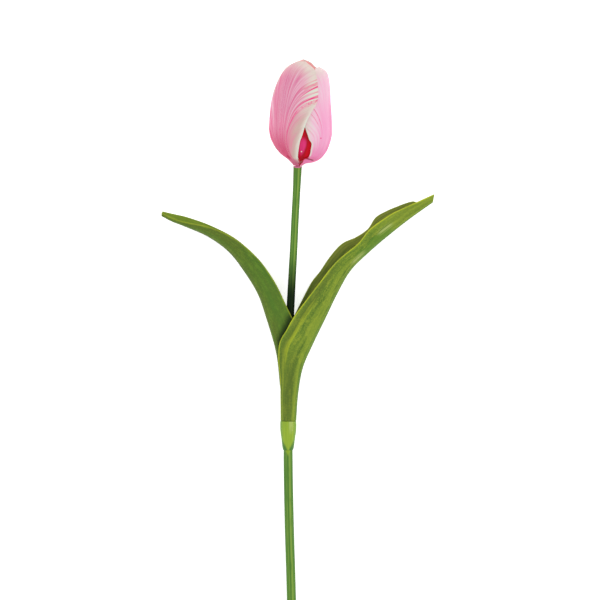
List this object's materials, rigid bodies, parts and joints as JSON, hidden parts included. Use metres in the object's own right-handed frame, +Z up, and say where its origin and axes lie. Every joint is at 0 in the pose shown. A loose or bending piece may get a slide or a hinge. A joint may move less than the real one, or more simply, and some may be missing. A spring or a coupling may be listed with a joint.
{
  "type": "cut tulip stem",
  "caption": "Single cut tulip lying down: a closed pink and cream bloom on a slender stem, with long gutter leaves wrapping it from a pale sheath collar.",
  "frame": {"origin": "bottom centre of the whole flower as it lies on a surface", "axes": "+Y along the stem from the cut end to the bloom, +X to the right seen from above, +Z up"},
  "size_m": [0.1557, 0.3396, 0.0362],
  "materials": {
    "stem_skin": "smooth waxy green skin with a lighter stripe",
    "collar_skin": "smooth pale yellow-green skin",
    "leaf_blade": "satin mottled green with fine lengthwise veins and a yellow-green rim",
    "petal_pink": "satin pink with cream margins and fine fanning veins",
    "petal_crimson": "satin crimson with a magenta middle",
    "pistil_green": "smooth pale green",
    "stigma_cream": "matte cream",
    "filament_cream": "smooth pale green-cream",
    "anther_dark": "powdery dark purple"
  },
  "bodies": {
    "root": {"stem": "stem_skin", "sheath_collar": "collar_skin", "leaf_right": "leaf_blade", "leaf_left": "leaf_blade", "petal_outer_left": "petal_pink", "petal_outer_right": "petal_pink", "petal_outer_back": "petal_pink", "petal_inner_front": "petal_crimson", "petal_inner_left": "petal_pink", "petal_inner_right": "petal_pink", "pistil_ovary": "pistil_green", "pistil_stigma": "stigma_cream", "stamen_filament_1": "filament_cream", "stamen_anther_1": "anther_dark", "stamen_filament_2": "filament_cream", "stamen_anther_2": "anther_dark", "stamen_filament_3": "filament_cream", "stamen_anther_3": "anther_dark", "stamen_filament_4": "filament_cream", "stamen_anther_4": "anther_dark", "stamen_filament_5": "filament_cream", "stamen_anther_5": "anther_dark", "stamen_filament_6": "filament_cream", "stamen_anther_6": "anther_dark"}
  },
  "joints": []
}
